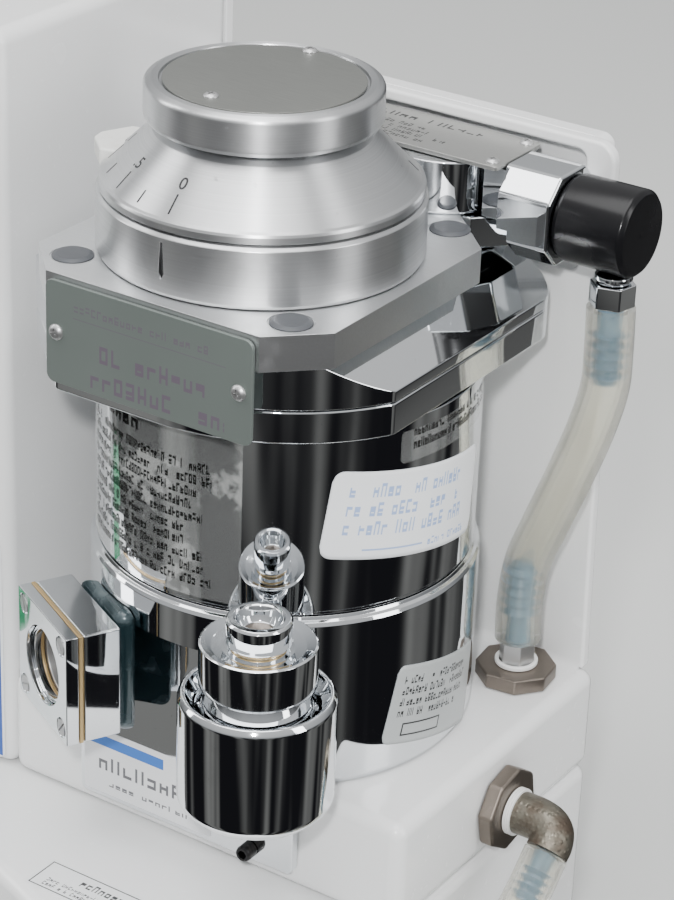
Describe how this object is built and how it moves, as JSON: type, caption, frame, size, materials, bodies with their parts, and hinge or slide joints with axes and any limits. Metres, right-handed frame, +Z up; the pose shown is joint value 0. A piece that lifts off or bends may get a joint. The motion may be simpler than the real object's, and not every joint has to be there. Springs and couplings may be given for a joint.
{
  "type": "anesthesia machine",
  "caption": "Tabletop anesthesia machine: white moulded housing with a chrome plug-in vaporizer, clear gas hoses, flowmeter and flush button.",
  "frame": {"origin": "bottom centre of the whole machine's box, on the surface it stands on", "axes": "+X to the machine's right as seen from the front, +Y to its back, +Z up"},
  "size_m": [0.3134, 0.1932, 0.2971],
  "materials": {
    "housing_plastic": "gloss",
    "mirror_chrome": "mirror",
    "turned_aluminium": "satin",
    "black_plastic": "satin",
    "printed_plate": "satin",
    "dark_nickel": "satin",
    "brass": "satin",
    "blued_steel": "gloss",
    "clear_plastic": "gloss",
    "hose_plastic": "gloss",
    "rubber": "matte",
    "steel": "satin",
    "wick_cloth": "matte",
    "green_plastic": "gloss",
    "plug_metal": "satin"
  },
  "bodies": {
    "machine": {"apron_plate": "mirror_chrome", "back_panel": "housing_plastic", "base_housing": "housing_plastic", "base_plate": "steel", "bimetal_valve": "brass", "body_jacket": "mirror_chrome", "dial_collar": "turned_aluminium", "filler_bowl": "mirror_chrome", "flow_tube": "clear_plastic", "flowmeter_block": "clear_plastic", "flush_valve": "brass", "foot_front_left": "rubber", "foot_front_right": "rubber", "foot_rear_left": "rubber", "foot_rear_right": "rubber", "gas_hose": "hose_plastic", "hose_fitting_lower": "steel", "hose_fitting_upper": "steel", "inlet_coupling": "mirror_chrome", "label_plate": "printed_plate", "lower_flange": "mirror_chrome", "manifold_block": "mirror_chrome", "manifold_plate": "printed_plate", "needle_valve": "brass", "outlet_coupling": "mirror_chrome", "outlet_hose": "hose_plastic", "oxygen_inlet": "mirror_chrome", "plug_front_left": "plug_metal", "plug_front_right": "plug_metal", "plug_rear_left": "plug_metal", "plug_rear_right": "plug_metal", "port_housing_left": "mirror_chrome", "port_housing_right": "mirror_chrome", "rear_cover": "housing_plastic", "return_elbow": "dark_nickel", "shelf_housing": "housing_plastic", "shelf_nut": "dark_nickel", "side_elbow": "dark_nickel", "side_nut": "dark_nickel", "sight_bezel": "mirror_chrome", "sight_block": "mirror_chrome", "sight_gasket": "brass", "sight_glass": "clear_plastic", "sight_saddle": "blued_steel", "sump": "mirror_chrome", "taper_adaptor": "black_plastic", "top_plate": "turned_aluminium", "tower_shell": "housing_plastic", "upper_flange": "mirror_chrome", "wick": "wick_cloth"},
    "dial": {"dial": "turned_aluminium", "dial_nameplate": "printed_plate", "dial_spindle": "steel", "rotary_valve": "steel"},
    "release_lever": {"release_lever": "housing_plastic"},
    "filler_cap": {"filler_cap": "mirror_chrome"},
    "drain_screw": {"drain_screw": "steel"},
    "flow_knob": {"flow_knob": "green_plastic"},
    "flow_float": {"flow_float": "black_plastic"},
    "flush_button": {"flush_button": "green_plastic"}
  },
  "joints": [
    {"name": "dial_turn", "type": "hinge", "parent": "machine", "child": "dial", "pos_m": [0.06025, -0.00615, 0.2791], "axis": [0, 0, 1], "range_deg": [0, 270]},
    {"name": "lever_press", "type": "slide", "parent": "dial", "child": "release_lever", "axis": [0.9781, 0.2079, 0], "range_m": [0, 0.003], "stiffness_N_per_m": 300},
    {"name": "cap_turn", "type": "hinge", "parent": "machine", "child": "filler_cap", "pos_m": [0.0973, -0.05586, 0.1611], "axis": [0, 0, 1], "continuous": true},
    {"name": "drain_turn", "type": "hinge", "parent": "machine", "child": "drain_screw", "pos_m": [0.08315, -0.03865, 0.0783], "axis": [0, -1, 0], "continuous": true},
    {"name": "flow_turn", "type": "hinge", "parent": "machine", "child": "flow_knob", "pos_m": [-0.10575, -0.04065, 0.1091], "axis": [0, -1, 0], "range_deg": [0, 540]},
    {"name": "float_rise", "type": "slide", "parent": "machine", "child": "flow_float", "axis": [0, 0, 1], "range_m": [0, 0.084]},
    {"name": "flush_press", "type": "slide", "parent": "machine", "child": "flush_button", "axis": [0, 1, 0], "range_m": [0, 0.004], "stiffness_N_per_m": 600}
  ]
}
